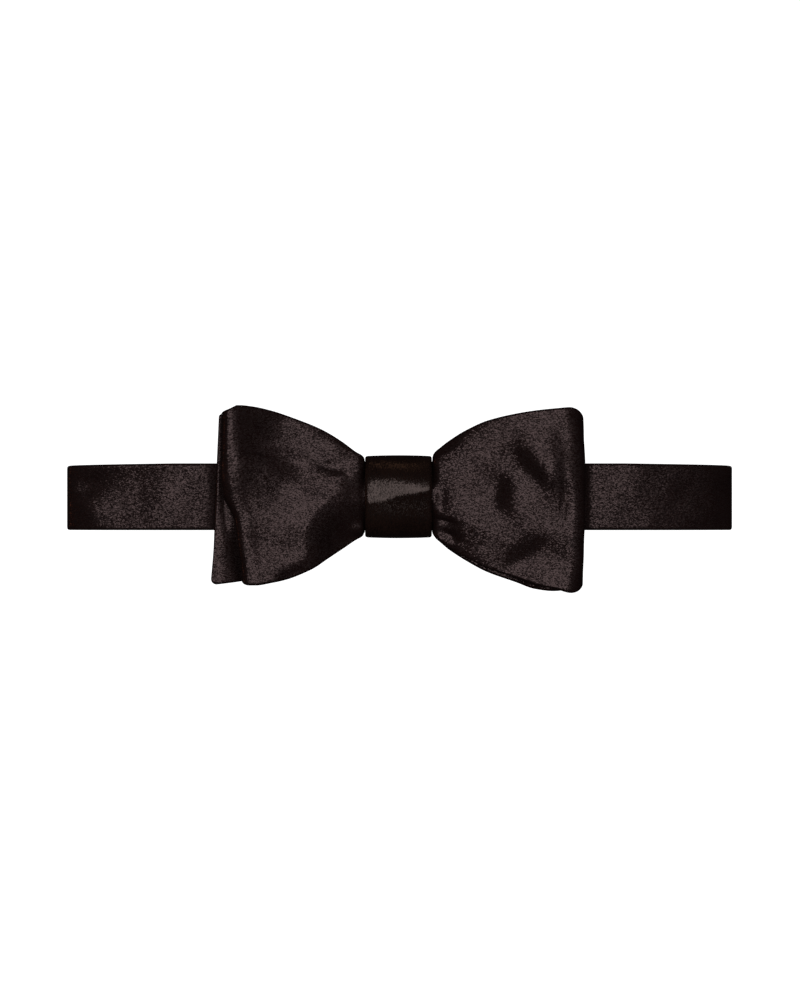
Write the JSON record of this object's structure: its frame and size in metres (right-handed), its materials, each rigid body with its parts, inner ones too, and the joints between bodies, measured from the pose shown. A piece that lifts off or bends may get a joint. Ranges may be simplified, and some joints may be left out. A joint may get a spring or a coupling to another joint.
{
  "type": "batwing bow tie",
  "caption": "Self-tied batwing bow tie in dark satin: crossed strips, each a folded loop on one side and a flat blade on the other, held by a wrapped knot on a closed neckband.",
  "frame": {"origin": "middle of the flat back stretch of the neckband, on the surface that the tie lies on", "axes": "+X along the bow to the picture's right, +Y up the bow, +Z from the back stretch to the knot, up from the surface"},
  "size_m": [0.2008, 0.056, 0.0296],
  "materials": {
    "neckband_satin": "black satin weave, soft sheen",
    "bow_satin": "black satin weave, soft sheen",
    "knot_satin": "black satin weave, soft sheen, pulled tight"
  },
  "bodies": {
    "root": {"neckband": "neckband_satin", "back_bow": "bow_satin", "front_bow": "bow_satin", "knot": "knot_satin"}
  },
  "joints": []
}
